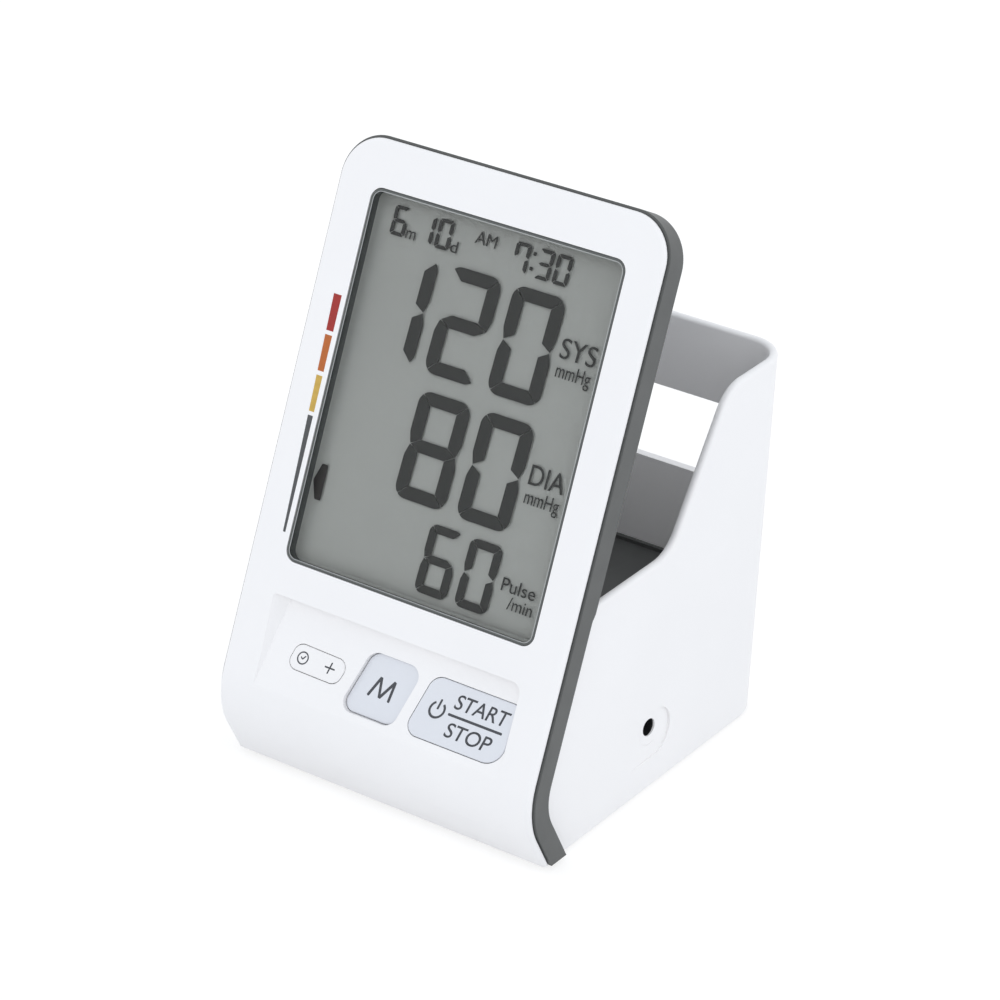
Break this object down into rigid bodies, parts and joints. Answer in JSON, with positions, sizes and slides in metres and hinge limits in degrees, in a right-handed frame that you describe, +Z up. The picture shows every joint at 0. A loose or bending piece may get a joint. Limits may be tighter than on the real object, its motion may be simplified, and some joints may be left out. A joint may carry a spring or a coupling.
{
  "type": "desktop upper-arm blood pressure monitor",
  "caption": "Leaning display unit with large segment digits, scooped key row and an open windowed cradle behind it for the arm cuff.",
  "frame": {"origin": "on the surface it stands on, under the middle of its bounding box", "axes": "+X to the right as seen from the display, +Y to the cradle at the back, +Z up"},
  "size_m": [0.1062, 0.1226, 0.1682],
  "materials": {
    "white_shell": "satin white ABS",
    "dark_shell": "fine matt dark grey",
    "key": "pale lavender satin",
    "lens": "clear",
    "display_frame": "matt dark grey",
    "lcd": "grey segment display",
    "reflector": "matt film",
    "connector_rubber": "matt",
    "black_plastic": "matt",
    "board": "green solder mask",
    "sensor": "matt",
    "inner_plastic": "matt grey",
    "contact_metal": "nickel plated",
    "motor_steel": "plain",
    "tube_rubber": "milky silicone",
    "screw_steel": "zinc plated",
    "cell": "gloss sleeve",
    "foot_rubber": "matt"
  },
  "bodies": {
    "case": {"front_cover": "white_shell", "display_lens": "lens", "display_frame": "display_frame", "lcd_panel": "lcd", "lcd_reflector": "reflector", "lcd_connector": "connector_rubber", "key_switches": "black_plastic", "main_board": "board", "board_chips": "black_plastic", "buzzer": "black_plastic", "pressure_sensor": "sensor", "rear_shell": "dark_shell", "cradle_left_wall": "white_shell", "cradle_right_wall": "white_shell", "cradle_rear": "white_shell", "socket_supports": "inner_plastic", "base_plate": "white_shell", "battery_tray": "inner_plastic", "battery_contact_plates": "contact_metal", "battery_contact_springs": "contact_metal", "dc_jack": "black_plastic", "dc_jack_pin": "contact_metal", "air_socket": "inner_plastic", "pump_motor": "motor_steel", "pump_head": "black_plastic", "pump_bracket": "foot_rubber", "exhaust_valve": "motor_steel", "air_manifold": "inner_plastic", "pump_tube": "tube_rubber", "socket_tube": "tube_rubber", "sensor_tube": "tube_rubber", "case_screws": "screw_steel", "board_screws": "screw_steel", "base_screws": "screw_steel", "battery_1": "cell", "foot_1": "foot_rubber", "battery_2": "cell", "foot_2": "foot_rubber", "battery_3": "cell", "foot_3": "foot_rubber", "battery_4": "cell", "foot_4": "foot_rubber"},
    "start_stop": {"start_stop_key": "key", "start_stop_switch_button": "black_plastic"},
    "memory": {"memory_key": "key", "memory_switch_button": "black_plastic"},
    "time_plus": {"time_plus_key": "white_shell"},
    "battery_door": {"battery_cover": "white_shell"},
    "pump_drive": {"pump_rotor": "motor_steel"}
  },
  "joints": [
    {"name": "start_stop_press", "type": "slide", "parent": "case", "child": "start_stop", "axis": [0, 0.9157, -0.4019], "range_m": [0, 0.0006], "stiffness_N_per_m": 1500},
    {"name": "memory_press", "type": "slide", "parent": "case", "child": "memory", "axis": [0, 0.9157, -0.4019], "range_m": [0, 0.0006], "stiffness_N_per_m": 1500},
    {"name": "time_plus_rock", "type": "hinge", "parent": "case", "child": "time_plus", "pos_m": [-0.02305, -0.05072, 0.03673], "axis": [0, 0.4019, 0.9157], "range_deg": [-2.5, 2.5], "stiffness_Nm_per_rad": 0.28},
    {"name": "battery_cover_swing", "type": "hinge", "parent": "case", "child": "battery_door", "pos_m": [0, -0.01359, 0.0032], "axis": [-1, 0, 0], "range_deg": [0, 75]},
    {"name": "pump_spin", "type": "hinge", "parent": "case", "child": "pump_drive", "pos_m": [0.01, -0.02599, 0.0195], "axis": [1, 0, 0], "continuous": true}
  ]
}
